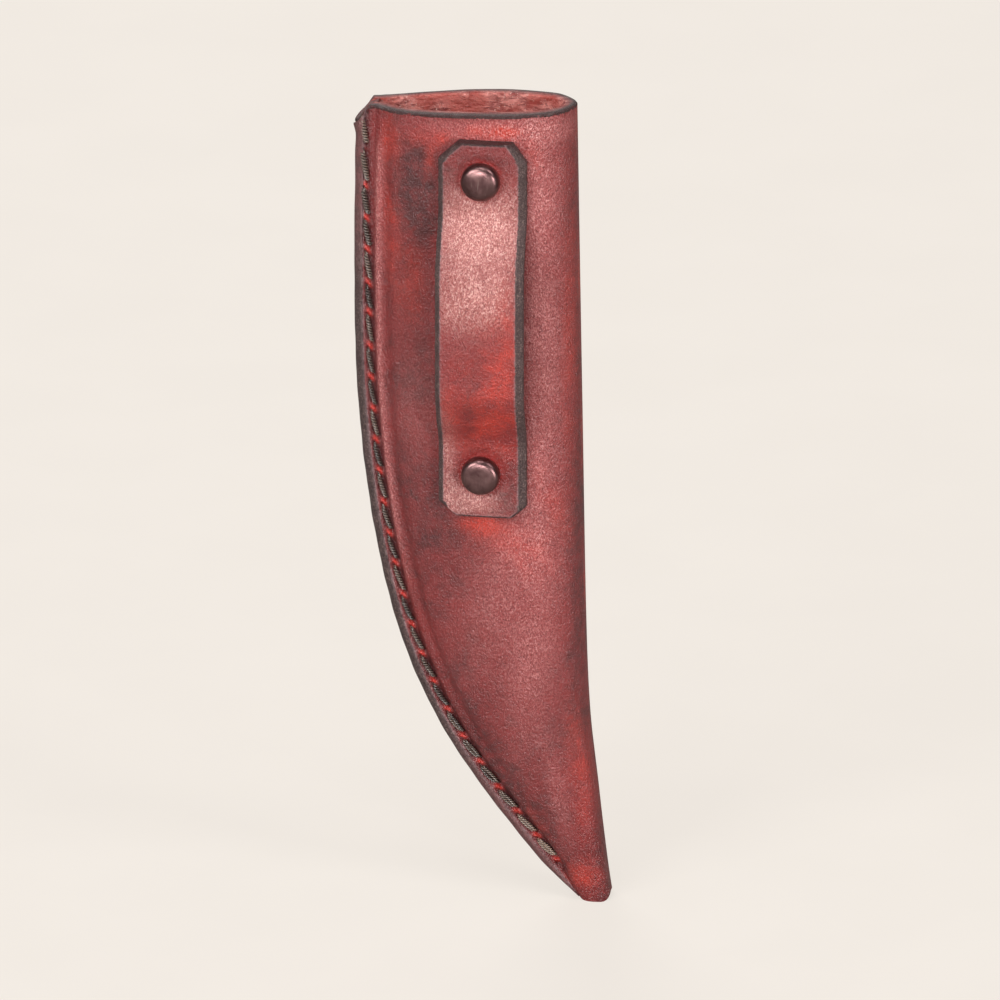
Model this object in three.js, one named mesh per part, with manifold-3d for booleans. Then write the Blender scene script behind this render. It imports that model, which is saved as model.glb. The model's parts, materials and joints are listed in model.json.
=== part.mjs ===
// Folded leather knife sheath with a riveted belt loop.
// Millimetres. +Z runs up through the mouth, -Y is the side that carries the belt loop,
// +X is the folded edge and -X the stitched edge.
import * as THREE from 'three';
import { LoftGeometry } from 'three/addons/geometries/LoftGeometry.js';
import { mergeVertices } from 'three/addons/utils/BufferGeometryUtils.js';
import Module from 'manifold-3d';

const wasm = await Module();
wasm.setup();

// Driving dimensions
const LENGTH = 196;
const RIM_DROP = 2.4;
const LEATHER = 2.8;
const WELT = 1.8;
const GAP = 0.3;
const FLANGE = 5.4;
const BACK_RISE = { mouth: 6.8, tip: 1.3 };
const FRONT_RISE = { mouth: 3.8, tip: 0.9 };
const RISE_HEIGHT = 95;
const MOUTH_CHAMFER = { across: 3.4, down: 4.8 };

const STITCH_INSET = { mouth: 2.2, run: 3.7, settled: 50 };
const STITCH_COUNT = 25;
const FIRST_STITCH = 2.2;
const LAST_STITCH = 9.2;
const HOLE_RADIUS = 0.8;
const THREAD_RADIUS = 0.5;
const STITCH_SLANT = 0.35;

const STRAP = { left: -30.85, right: -10.55, bottom: 97.5, top: 189, bow: 5.5 };
const STRAP_FLAT_LENGTH = 34;
const STRAP_PAD_LENGTH = 16;
const STRAP_CORNERS = {
  topLeft: { across: 4.7, down: 4.5 },
  topRight: { across: 3.3, down: 4.7 },
  bottomLeft: { across: 3.9, up: 3.0 },
  bottomRight: { across: 2.9, up: 2.6 },
};

const RIVET = { x: -20.9, upper: 180, lower: 108, holeRadius: 1.8 };
const CAP = { radius: 4.5, wall: 0.4, height: 2.2, skirt: 0.3 };
const TUBE = { outer: 1.5, bore: 1.0, length: 4.6, flange: 3.2, plate: 0.4 };
const POST_RADIUS = 0.7;

// Steps of the faceted curves
const ROWS = 24;
const ARCH_STEPS = 26;
const BEND_STEPS = 6;
const DOME_STEPS = 4;
const ROUND_STEPS = 20;
const HOLE_SIDES = 8;
const THREAD_SIDES = 6;

// Distances that follow from the driving dimensions
const LEG_CENTRE = (WELT + LEATHER) / 2 + GAP;
const BACK_FACE = -(LEG_CENTRE + BACK_RISE.mouth + LEATHER / 2);
const STRAP_INNER = BACK_FACE - GAP;
const STRAP_OUTER = STRAP_INNER - LEATHER;
const RIVET_DEPTH = 2 * LEATHER + 3 * GAP;
const SEAM_REACH = LEG_CENTRE + LEATHER;
const BODY_REACH = BACK_RISE.mouth + SEAM_REACH;
const CUT_MARGIN = 3;

// Edges of the flat outline, mouth first, as x and z. The rim drops from the fold to the seam.
const seamEdge = new THREE.SplineCurve([
  new THREE.Vector2(-51.2, LENGTH - RIM_DROP),
  new THREE.Vector2(-51.7, 155),
  new THREE.Vector2(-51.0, 123),
  new THREE.Vector2(-47.6, 92),
  new THREE.Vector2(-41.4, 64.5),
  new THREE.Vector2(-32.0, 42),
  new THREE.Vector2(-18.9, 22),
  new THREE.Vector2(-1.3, 0),
]);
const foldLine = new THREE.SplineCurve([
  new THREE.Vector2(0, LENGTH),
  new THREE.Vector2(1.2, 125),
  new THREE.Vector2(2.6, 56),
  new THREE.Vector2(5.0, 28),
  new THREE.Vector2(8.0, 0),
]);

// Each curve falls steadily in z, so its parameter at a height is found by halving
function parameterAtHeight(curve, z) {
  let low = 0;
  let high = 1;
  for (let step = 0; step < 30; step += 1) {
    const middle = (low + high) / 2;
    if (curve.getPoint(middle).y > z) {
      low = middle;
    } else {
      high = middle;
    }
  }
  return (low + high) / 2;
}

function xAtHeight(curve, z) {
  return curve.getPoint(parameterAtHeight(curve, z)).x;
}

// The rows crowd towards the tip, and the last one stands above the rim, which is cut later
function rowHeight(row) {
  return (LENGTH + CUT_MARGIN) * (row / ROWS) ** 1.25;
}

// The flange keeps its width square to the seam, so it is wider where the seam slopes
function flangeWidth(z) {
  const tangent = seamEdge.getTangent(parameterAtHeight(seamEdge, z));
  const width = xAtHeight(foldLine, z) - xAtHeight(seamEdge, z);
  return Math.min(FLANGE / Math.abs(tangent.y), 0.36 * width);
}

function riseAt(rise, z) {
  const share = THREE.MathUtils.clamp(z / RISE_HEIGHT, 0, 1);
  return rise.tip + (rise.mouth - rise.tip) * Math.sin((share * Math.PI) / 2);
}

// Solids

function toSolid(geometry) {
  const bare = new THREE.BufferGeometry();
  bare.setAttribute('position', geometry.attributes.position);
  bare.setIndex(geometry.index);
  const merged = mergeVertices(bare);
  const mesh = new wasm.Mesh({
    numProp: 3,
    vertProperties: new Float32Array(merged.attributes.position.array),
    triVerts: new Uint32Array(merged.index.array),
  });
  return new wasm.Manifold(mesh);
}

function toGeometry(solid) {
  const mesh = solid.getMesh();
  const geometry = new THREE.BufferGeometry();
  geometry.setAttribute('position', new THREE.BufferAttribute(mesh.vertProperties, 3));
  geometry.setIndex(new THREE.BufferAttribute(mesh.triVerts, 1));
  geometry.computeVertexNormals();
  return geometry;
}

function subtractAll(solid, cutters) {
  return cutters.reduce((rest, cutter) => rest.subtract(cutter), solid);
}

function crossPin(radius, x, z, from, to, sides) {
  const pin = new THREE.CylinderGeometry(radius, radius, to - from, sides);
  return toSolid(pin.translate(x, (from + to) / 2, z));
}

// Both sides of a polyline, moved half the thickness along its averaged normals.
// The polyline lies in a plane, and its ring runs out along one side and back along the other.
function thickenedRing(points, thickness, planeNormal) {
  const outer = [];
  const inner = [];
  points.forEach((point, index) => {
    const before = points[Math.max(index - 1, 0)];
    const after = points[Math.min(index + 1, points.length - 1)];
    const along = new THREE.Vector3().subVectors(after, before).normalize();
    const side = new THREE.Vector3().crossVectors(along, planeNormal).normalize();
    outer.push(point.clone().addScaledVector(side, thickness / 2));
    inner.push(point.clone().addScaledVector(side, -thickness / 2));
  });
  return [...outer, ...inner.reverse()];
}

// Folded blank

function bodyCentreline(z) {
  const left = xAtHeight(seamEdge, z);
  const crease = left + flangeWidth(z);
  const fold = xAtHeight(foldLine, z) - LEATHER / 2;
  const back = riseAt(BACK_RISE, z);
  const front = riseAt(FRONT_RISE, z);
  const backPoint = (share, rise) =>
    new THREE.Vector3(crease + share * (fold - crease), -LEG_CENTRE - rise * back, z);
  const frontPoint = (share, rise) =>
    new THREE.Vector3(crease + share * (fold - crease), LEG_CENTRE + rise * front, z);
  const arch = new THREE.CatmullRomCurve3([
    backPoint(0, 0),
    backPoint(0.13, 0.56),
    backPoint(0.29, 0.83),
    backPoint(0.46, 0.97),
    backPoint(0.64, 1),
    backPoint(0.84, 0.88),
    backPoint(0.95, 0.54),
    new THREE.Vector3(fold, -(back - front) / 2, z),
    frontPoint(0.93, 0),
    frontPoint(0.82, 0.5),
    frontPoint(0.66, 0.88),
    frontPoint(0.5, 1),
    frontPoint(0.3, 0.72),
    frontPoint(0.1, 0.24),
    frontPoint(0, 0),
  ]);
  const edgePoint = (y) => new THREE.Vector3(left, y, z);
  return [edgePoint(-LEG_CENTRE), ...arch.getPoints(ARCH_STEPS), edgePoint(LEG_CENTRE)];
}

function bodyBlank() {
  const up = new THREE.Vector3(0, 0, 1);
  const rings = [];
  for (let row = 0; row <= ROWS; row += 1) {
    rings.push(thickenedRing(bodyCentreline(rowHeight(row)), LEATHER, up));
  }
  return toSolid(new LoftGeometry(rings, { capStart: true, capEnd: true }));
}

// Everything above the rim, and the corner clipped off where the seam meets it
function mouthCutter() {
  const { across, down } = MOUTH_CHAMFER;
  const seam = seamEdge.getPoint(0);
  const fold = foldLine.getPoint(0);
  const slope = RIM_DROP / (fold.x - seam.x);
  const onRim = (x) => new THREE.Vector2(x, fold.y + slope * (x - fold.x));
  const top = LENGTH + 2 * CUT_MARGIN;
  const outline = new THREE.Shape([
    onRim(fold.x + CUT_MARGIN),
    new THREE.Vector2(fold.x + CUT_MARGIN, top),
    new THREE.Vector2(seam.x - CUT_MARGIN, top),
    new THREE.Vector2(seam.x - CUT_MARGIN, seam.y - down * (1 + CUT_MARGIN / across)),
    onRim(seam.x + across),
  ]);
  return toSolid(extrudeAcross(outline, -BODY_REACH, BODY_REACH));
}

// An outline drawn in x and z, extruded along y
function extrudeAcross(outline, from, to) {
  const geometry = new THREE.ExtrudeGeometry(outline, { depth: to - from, bevelEnabled: false });
  return geometry.rotateX(Math.PI / 2).translate(0, to, 0);
}

// The stitch line starts close to the edge at the mouth and settles further in
function stitchHoles() {
  const holes = [];
  const length = seamEdge.getLength();
  const run = length - FIRST_STITCH - LAST_STITCH;
  for (let index = 0; index <= STITCH_COUNT; index += 1) {
    const distance = FIRST_STITCH + (run * index) / STITCH_COUNT;
    const tangent = seamEdge.getTangentAt(distance / length);
    const inward = new THREE.Vector2(-tangent.y, tangent.x);
    const settled = THREE.MathUtils.smoothstep(distance, 0, STITCH_INSET.settled);
    const inset = THREE.MathUtils.lerp(STITCH_INSET.mouth, STITCH_INSET.run, settled);
    const centre = seamEdge.getPointAt(distance / length).addScaledVector(inward, inset);
    holes.push({ centre, inward });
  }
  return holes;
}

function stitchCutters() {
  return stitchHoles().map(({ centre }) =>
    crossPin(HOLE_RADIUS, centre.x, centre.y, -SEAM_REACH, SEAM_REACH, HOLE_SIDES));
}

function rivetCutters() {
  const outside = STRAP_OUTER - CUT_MARGIN;
  const inside = BACK_FACE + LEATHER + CUT_MARGIN;
  return [RIVET.upper, RIVET.lower].map((z) =>
    crossPin(RIVET.holeRadius, RIVET.x, z, outside, inside, 2 * HOLE_SIDES));
}

function foldedBody() {
  return subtractAll(bodyBlank(), [mouthCutter(), ...stitchCutters(), ...rivetCutters()]);
}

// Filler strip between the two edges of the blank
function edgeWelt() {
  const rings = [];
  for (let row = 0; row <= ROWS; row += 1) {
    const z = rowHeight(row);
    const left = xAtHeight(seamEdge, z);
    const right = left + flangeWidth(z);
    rings.push([
      new THREE.Vector3(left, -WELT / 2, z),
      new THREE.Vector3(right, -WELT / 2, z),
      new THREE.Vector3(right, WELT / 2, z),
      new THREE.Vector3(left, WELT / 2, z),
    ]);
  }
  const strip = toSolid(new LoftGeometry(rings, { capStart: true, capEnd: true }));
  return subtractAll(strip, [mouthCutter(), ...stitchCutters()]);
}

// Belt loop strap

function strapCentreline() {
  const middle = (RIVET.upper + RIVET.lower) / 2;
  const flat = STRAP_FLAT_LENGTH / 2;
  const rest = STRAP_OUTER + LEATHER / 2;
  const point = (z, lift) => new THREE.Vector3(0, rest - lift, z);
  const bend = (from, to, startLift, endLift) => {
    const bendPoints = [];
    for (let step = 0; step <= BEND_STEPS; step += 1) {
      const share = step / BEND_STEPS;
      const lift = THREE.MathUtils.lerp(startLift, endLift, (1 - Math.cos(share * Math.PI)) / 2);
      bendPoints.push(point(THREE.MathUtils.lerp(from, to, share), lift));
    }
    return bendPoints;
  };
  return [
    point(STRAP.bottom, 0),
    ...bend(STRAP.bottom + STRAP_PAD_LENGTH, middle - flat, 0, STRAP.bow),
    ...bend(middle + flat, STRAP.top - STRAP_PAD_LENGTH, STRAP.bow, 0),
    point(STRAP.top, 0),
  ];
}

function strapRibbon() {
  const acrossX = new THREE.Vector3(1, 0, 0);
  const ring = thickenedRing(strapCentreline(), LEATHER, acrossX);
  const atX = (x) => ring.map((point) => new THREE.Vector3(x, point.y, point.z));
  const ends = [atX(STRAP.left), atX(STRAP.right)];
  return toSolid(new LoftGeometry(ends, { capStart: true, capEnd: true }));
}

function strapOutline() {
  const { left, right, bottom, top } = STRAP;
  const { topLeft, topRight, bottomLeft, bottomRight } = STRAP_CORNERS;
  return new THREE.Shape([
    new THREE.Vector2(left + bottomLeft.across, bottom),
    new THREE.Vector2(right - bottomRight.across, bottom),
    new THREE.Vector2(right, bottom + bottomRight.up),
    new THREE.Vector2(right, top - topRight.down),
    new THREE.Vector2(right - topRight.across, top),
    new THREE.Vector2(left + topLeft.across, top),
    new THREE.Vector2(left, top - topLeft.down),
    new THREE.Vector2(left, bottom + bottomLeft.up),
  ]);
}

function beltLoopStrap() {
  const outermost = STRAP_OUTER - STRAP.bow - CUT_MARGIN;
  const outline = toSolid(extrudeAcross(strapOutline(), outermost, BACK_FACE));
  return subtractAll(strapRibbon().intersect(outline), rivetCutters());
}

// Saddle-stitched thread: one pin in each hole, and a slanted stitch on both faces between holes

function threadBar(from, to) {
  const along = new THREE.Vector3().subVectors(to, from);
  const bar = new THREE.CylinderGeometry(THREAD_RADIUS, THREAD_RADIUS, along.length(), THREAD_SIDES);
  const turn = new THREE.Quaternion().setFromUnitVectors(
    new THREE.Vector3(0, 1, 0),
    along.normalize(),
  );
  bar.applyQuaternion(turn);
  const middle = new THREE.Vector3().addVectors(from, to).multiplyScalar(0.5);
  return toSolid(bar.translate(middle.x, middle.y, middle.z));
}

function stitchingThread() {
  const holes = stitchHoles();
  const face = LEG_CENTRE + LEATHER / 2 + GAP / 2 + THREAD_RADIUS;
  const onFace = ({ centre, inward }, slant, y) => {
    const spot = centre.clone().addScaledVector(inward, slant);
    return new THREE.Vector3(spot.x, y, spot.y);
  };
  const bars = [];
  holes.forEach((hole, index) => {
    bars.push(threadBar(onFace(hole, 0, -face), onFace(hole, 0, face)));
    const next = holes[index + 1];
    if (next) {
      for (const y of [-face, face]) {
        bars.push(threadBar(onFace(hole, -STITCH_SLANT, y), onFace(next, STITCH_SLANT, y)));
      }
    }
  });
  return bars.reduce((whole, bar) => whole.add(bar));
}

// Double-cap rivets. Profiles hold radius and height, and height 0 is the strap's outer face.

// From the rim up to the axis
function domeProfile(radius, height, base) {
  const points = [];
  for (let step = 0; step < DOME_STEPS; step += 1) {
    const angle = (step / DOME_STEPS) * (Math.PI / 2);
    points.push(new THREE.Vector2(radius * Math.cos(angle), base + height * Math.sin(angle)));
  }
  points.push(new THREE.Vector2(0, base + height));
  return points;
}

function revolve(profile, z) {
  const geometry = new THREE.LatheGeometry(profile, ROUND_STEPS);
  return geometry.rotateX(Math.PI).translate(RIVET.x, STRAP_OUTER, z);
}

function frontCap(z) {
  const { radius, wall, height, skirt } = CAP;
  return revolve([
    ...domeProfile(radius - wall, height - wall, GAP).reverse(),
    new THREE.Vector2(radius, GAP),
    ...domeProfile(radius, height - skirt, GAP + skirt),
  ], z);
}

function rivetSocket(z) {
  return revolve([
    new THREE.Vector2(0, GAP),
    new THREE.Vector2(TUBE.bore, GAP),
    new THREE.Vector2(TUBE.bore, -TUBE.length),
    new THREE.Vector2(TUBE.outer, -TUBE.length),
    new THREE.Vector2(TUBE.outer, GAP),
    new THREE.Vector2(TUBE.flange, GAP),
    new THREE.Vector2(TUBE.flange, GAP + TUBE.plate),
    new THREE.Vector2(0, GAP + TUBE.plate),
  ], z);
}

function rivetStem(z) {
  return revolve([
    new THREE.Vector2(0, -RIVET_DEPTH - TUBE.plate),
    new THREE.Vector2(TUBE.flange, -RIVET_DEPTH - TUBE.plate),
    new THREE.Vector2(TUBE.flange, -RIVET_DEPTH),
    new THREE.Vector2(POST_RADIUS, -RIVET_DEPTH),
    new THREE.Vector2(POST_RADIUS, 0),
    new THREE.Vector2(0, 0),
  ], z);
}

function backCap(z) {
  const { radius, wall, height, skirt } = CAP;
  const mirrored = (points) => points.map(({ x, y }) => new THREE.Vector2(x, -RIVET_DEPTH - y));
  return revolve([
    ...mirrored(domeProfile(radius, height - skirt, skirt)).reverse(),
    new THREE.Vector2(radius, -RIVET_DEPTH),
    ...mirrored(domeProfile(radius - wall, height - wall, 0)),
  ], z);
}

// Materials

function dyedLeather(color) {
  return new THREE.MeshStandardMaterial({ color, roughness: 0.42, metalness: 0 });
}

function waxedThread() {
  return new THREE.MeshStandardMaterial({ color: 0x2b2628, roughness: 0.45, metalness: 0 });
}

function antiqueMetal() {
  return new THREE.MeshStandardMaterial({ color: 0x54433f, roughness: 0.3, metalness: 1 });
}

// Assembly

const sheath = new THREE.Group();

function addPiece(name, geometry, material) {
  const mesh = new THREE.Mesh(geometry, material);
  mesh.name = name;
  sheath.add(mesh);
}

function addRivet(prefix, z) {
  addPiece(`${prefix}_rivet_front_cap`, frontCap(z), antiqueMetal());
  addPiece(`${prefix}_rivet_socket`, rivetSocket(z), antiqueMetal());
  addPiece(`${prefix}_rivet_stem`, rivetStem(z), antiqueMetal());
  addPiece(`${prefix}_rivet_back_cap`, backCap(z), antiqueMetal());
}

addPiece('folded_leather_body', toGeometry(foldedBody()), dyedLeather(0x8e3a3a));
addPiece('edge_welt', toGeometry(edgeWelt()), dyedLeather(0x4a2d2d));
addPiece('belt_loop_strap', toGeometry(beltLoopStrap()), dyedLeather(0xa5423f));
addPiece('stitching_thread', toGeometry(stitchingThread()), waxedThread());
addRivet('upper', RIVET.upper);
addRivet('lower', RIVET.lower);

// The origin is the bottom centre of the whole sheath
const bounds = new THREE.Box3().setFromObject(sheath);
const centre = bounds.getCenter(new THREE.Vector3());
sheath.position.set(-centre.x, -centre.y, -bounds.min.z);

export default sheath;
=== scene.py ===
"""Looks of a folded leather knife sheath with a riveted belt loop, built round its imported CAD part.

Lengths in the code are millimetres in the part's own frame: +Z runs up through the mouth, -Y is the
belt side, +X the folded edge and -X the stitched edge. Meshes are scaled to metres as they are made.
"""

import json
import math
from types import SimpleNamespace

import bmesh
import bpy
import numpy as np
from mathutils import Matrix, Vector


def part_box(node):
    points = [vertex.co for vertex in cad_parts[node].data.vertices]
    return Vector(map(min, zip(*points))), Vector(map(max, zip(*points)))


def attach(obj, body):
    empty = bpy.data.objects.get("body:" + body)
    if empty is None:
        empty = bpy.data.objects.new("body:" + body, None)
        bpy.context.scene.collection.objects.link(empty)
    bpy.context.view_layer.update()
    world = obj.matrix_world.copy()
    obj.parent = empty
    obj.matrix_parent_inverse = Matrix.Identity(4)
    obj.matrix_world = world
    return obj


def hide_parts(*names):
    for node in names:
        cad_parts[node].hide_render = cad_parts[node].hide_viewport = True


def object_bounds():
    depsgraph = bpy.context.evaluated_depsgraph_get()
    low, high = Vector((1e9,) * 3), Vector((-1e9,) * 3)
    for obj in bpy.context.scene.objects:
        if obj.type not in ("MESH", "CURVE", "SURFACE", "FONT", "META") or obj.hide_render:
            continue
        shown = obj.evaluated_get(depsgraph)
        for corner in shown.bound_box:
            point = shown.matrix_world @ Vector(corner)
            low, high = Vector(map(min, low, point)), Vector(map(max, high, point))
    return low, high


MM = 0.001

# Leather and seam, as in the CAD part
LEATHER = 2.8
FLANGE = 5.4
FLANGE_SHARE = 0.36
LEG_CENTRE = 2.6
FLANGE_FACE = 4.0
WELT_HALF = 1.15
LEG_INNER = 1.2
INNER_SETBACK = 0.35
BACK_RISE = (1.3, 6.8)
FRONT_RISE = (0.9, 3.8)
RISE_HEIGHT = 95.0
ARCH_BACK = [(0, 0), (0.13, 0.56), (0.29, 0.83), (0.46, 0.97), (0.64, 1), (0.84, 0.88), (0.95, 0.54)]
ARCH_FRONT = [(0.93, 0), (0.82, 0.5), (0.66, 0.88), (0.5, 1), (0.3, 0.72), (0.1, 0.24), (0, 0)]
MOUTH_CHAMFER = (3.4, 4.8)
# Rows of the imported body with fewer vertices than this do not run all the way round
FULL_RING = 200

# Body and welt meshes
BODY_ROWS = 372
ARCH_COLUMNS = 171
ARCH_SAMPLES = 1400
SEAM_SAMPLES = 2400
EDGE_COLUMNS = 9
FLANGE_COLUMNS = 17
INNER_ROW_STEP = 4
INNER_COLUMN_STEP = 4
LEG_COLUMNS = EDGE_COLUMNS + FLANGE_COLUMNS - 1
EDGE_ROUND = (2.1, 2.7)
EDGE_ROUND_ANGLE = math.radians(70)
RIM_ROUND = 0.8
INNER_RIM_ROUND = 0.48
RIM_ROUND_ROWS = 4
WELT_ROWS = 190
RIM_BLEND = 14.0
TIP_BLEND = 9.0
TIP_CORNERS = (4.6, 1.6)

# Stitching: distances run along the seam from the rim
STITCH_INSET = (2.2, 3.7)
STITCH_SETTLED = 50.0
FIRST_STITCH = 2.2
LAST_STITCH = 9.2
PITCH_WANDER = [
    0.0, -0.2, 1.4, 1.7, 1.6, 2.1, 1.5, 2.0, 2.0, 2.0, 2.0, 1.9, 2.0,
    2.0, 1.7, 2.0, 2.0, 1.9, 1.6, 1.6, 1.4, 1.3, 1.0, 0.6, 0.2, 0.0,
]
STITCH_STEPS = 46
STITCH_SLANT = 0.58
STITCH_PULL = 0.7
PLY_SIDES = 7
PLY_RADIUS = 0.31
PLY_OFFSET = 0.3
PLY_PITCH = 1.35
DOUBLED_STITCHES = 6

# Where along the seam each mark sets in, and where it ends or fades
CREASE_START, CREASE_END = (2, 9), (200, 150)
RIDGE_START, RIDGE_END = (4, 16), (130, 90)
GROOVE_START, GROOVE_END = (-1, 2), (206, 196)
BEADS_START = (6, 24)
MOUTH_WEAR, TIP_WEAR = (52, 20), (150, 185)
THREAD_MOUTH_WEAR, THREAD_TIP_WEAR = (26, 4), (160, 195)
THREAD_SETTLED = (8, 60)

# Strap
STRAP_THICKNESS = 3.0
STRAP_PAD = 16.0
STRAP_CORNERS = {
    "top_left": (4.7, 4.5),
    "top_right": (3.3, 4.7),
    "bottom_left": (3.9, 3.0),
    "bottom_right": (2.9, 2.6),
}
STRAP_COLUMNS = 85
STRAP_ROWS = 330
STRAP_WALL_LEVELS = 5
STRAP_BEVEL_WIDTH = (1.1, 1.7)
STRAP_BEVEL_DROP = 1.15
END_BEVEL = 0.35
END_BEVEL_DROP = 0.25

# Rivets
RIVETS = ("upper", "lower")
CAP_WALL = 0.4
CAP_SKIRT = 0.62
CAP_SHOULDER = {"upper": 0.45, "lower": 0.36}
CAP_SIDES = 72
SHANK_SIDES = 40
CAP_UNEVENNESS = 0.012
SOCKET_TUBE, SOCKET_BORE, STEM_POST = 1.5, 1.0, 0.7

# Faces that meet more sharply than this are not shaded as one
SHARP_ANGLE = math.radians(48)


# --- numbers


def ramp(low, high, value):
    """0 at low and 1 at high, easing in and out between them."""
    share = np.clip((value - low) / (high - low), 0.0, 1.0)
    return share * share * (3 - 2 * share)


def bell(value, centre, width):
    """1 at the centre, falling off on both sides."""
    return np.exp(-(((value - centre) / width) ** 2))


def lerp(start, end, share):
    return start + (end - start) * share


def smooth_curve(knots, values, at):
    """A cubic through the knots, and straight past its ends."""
    slopes = np.gradient(values, knots)
    index = np.clip(np.searchsorted(knots, at) - 1, 0, len(knots) - 2)
    step = knots[index + 1] - knots[index]
    inside = np.clip(at, knots[0], knots[-1])
    t = (inside - knots[index]) / step
    cubic = (
        (2 * t**3 - 3 * t**2 + 1) * values[index]
        + (t**3 - 2 * t**2 + t) * step * slopes[index]
        + (3 * t**2 - 2 * t**3) * values[index + 1]
        + (t**3 - t**2) * step * slopes[index + 1]
    )
    beyond = np.where(at > knots[-1], slopes[-1], slopes[0]) * (at - inside)
    return cubic + beyond


def running_length(path):
    """Distance travelled at each point of a path."""
    return np.r_[0, np.cumsum(np.linalg.norm(np.diff(path, axis=0), axis=1))]


def ripple(u, v, wavelength, seed, waves=10):
    """Smooth seeded unevenness, about -1 to 1, over two coordinates."""
    rng = np.random.default_rng(seed)
    total = 0.0
    for _ in range(waves):
        angle, phase = rng.uniform(0, 2 * np.pi, 2)
        k = 2 * np.pi / (wavelength * rng.uniform(0.6, 1.6))
        total = total + np.sin(k * (u * np.cos(angle) + v * np.sin(angle)) + phase)
    return total / math.sqrt(waves)


def patches(x, z, table):
    """Soft oval patches: centre x and z, half sizes, lean in degrees and strength."""
    total = np.zeros(np.broadcast(x, z).shape)
    for centre_x, centre_z, half_x, half_z, lean, strength in table:
        c, s = math.cos(math.radians(lean)), math.sin(math.radians(lean))
        u = ((x - centre_x) * c + (z - centre_z) * s) / half_x
        v = ((z - centre_z) * c - (x - centre_x) * s) / half_z
        total += strength * np.exp(-(u * u + v * v))
    return total


# --- the frame


def box_mm(node):
    low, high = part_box(node)
    return np.array(low) / MM, np.array(high) / MM


def round_node(node):
    """Centre x and z, and radius, of a node turned about the y axis."""
    low, high = box_mm(node)
    return (low[0] + high[0]) / 2, (low[2] + high[2]) / 2, (high[0] - low[0]) / 2


def cap_reaches(x, z):
    """For each rivet, how far many points lie from its axis, and the radius of its cap."""
    for prefix in RIVETS:
        centre_x, centre_z, radius = round_node(f"{prefix}_rivet_front_cap")
        yield np.hypot(x - centre_x, z - centre_z), radius


class Outline:
    """The flat outline of the sheath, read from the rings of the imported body."""

    def __init__(self, node):
        points = np.array([v.co for v in node.data.vertices]) / MM
        heights, counts = np.unique(points[:, 2].round(2), return_counts=True)
        self.rows = heights[counts >= FULL_RING]
        rings = [points[np.abs(points[:, 2] - z) < 0.02, 0] for z in self.rows]
        self.lefts = np.array([ring.min() for ring in rings])
        self.rights = np.array([ring.max() for ring in rings])
        self.top = points[:, 2].max()
        self.seam_y = sum(b[1] for b in box_mm("edge_welt")) / 2
        axis = next(m for m in frame["record"]["mounts"] if m["name"] == "mouth_rim")["axis"]
        self.rim_slope = -axis[0] / axis[2]
        self.rim_x = self.right(self.top)
        self.seam_top = self.rim(self.left(self.top))
        z = np.linspace(self.seam_top, 0, SEAM_SAMPLES)
        self.seam = np.stack([self.left(z), z], axis=1)
        self.seam_length = running_length(self.seam)
        tangent = np.gradient(self.seam, axis=0)
        self.seam_tangent = tangent / np.linalg.norm(tangent, axis=1)[:, None]

    def left(self, z):
        return smooth_curve(self.rows, self.lefts, z)

    def right(self, z):
        return smooth_curve(self.rows, self.rights, z)

    def rim(self, x):
        return self.top + self.rim_slope * (x - self.rim_x)

    def steepness(self, z):
        """How upright the seam stands at a height, 1 where it is vertical."""
        return np.interp(z, self.seam[::-1, 1], np.abs(self.seam_tangent[::-1, 1]))

    def flange(self, z):
        return np.minimum(FLANGE / self.steepness(z), FLANGE_SHARE * (self.right(z) - self.left(z)))

    def on_seam(self, distance, inset):
        """The x and z of a point inside the seam edge."""
        table = (*self.seam.T, *self.seam_tangent.T)
        x, z, tx, tz = (np.interp(distance, self.seam_length, column) for column in table)
        return x - tz * inset, z + tx * inset

    def nearest(self, x, z):
        """Distance along the seam and distance in from it, for many points."""
        along, inset = np.empty(len(x)), np.empty(len(x))
        for start in range(0, len(x), 2000):
            part = slice(start, start + 2000)
            gap = np.hypot(x[part, None] - self.seam[None, :, 0], z[part, None] - self.seam[None, :, 1])
            index = gap.argmin(axis=1)
            along[part] = self.seam_length[index]
            inset[part] = gap[np.arange(len(index)), index]
        return along, inset


# --- meshes


def grid_faces(rows, columns, first=0):
    a = first + np.arange(rows - 1)[:, None] * columns + np.arange(columns - 1)[None, :]
    return np.stack([a, a + 1, a + columns + 1, a + columns], axis=-1).reshape(-1, 4).tolist()


def ring_faces(rings, sides, first=0):
    """A tube: rings of vertices joined in turn."""
    ring = first + np.arange(rings - 1)[:, None] * sides
    side = np.arange(sides)[None, :]
    after = (side + 1) % sides
    quads = [ring + side, ring + after, ring + sides + after, ring + sides + side]
    return np.stack(quads, axis=-1).reshape(-1, 4).tolist()


def tube_faces(rings, sides, first=0):
    """A tube closed at both ends."""
    last = first + (rings - 1) * sides
    ends = [[first + k for k in range(sides)][::-1], [last + k for k in range(sides)]]
    return ring_faces(rings, sides, first) + ends


def strip_faces(fine, coarse, step):
    """Joins a line of vertices to one with fewer, step fine edges to each coarse edge."""
    faces = []
    for k in range(len(coarse) - 1):
        run = fine[k * step : min((k + 1) * step, len(fine) - 1) + 1]
        faces.append([*run, coarse[k + 1], coarse[k]])
    return faces


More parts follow.
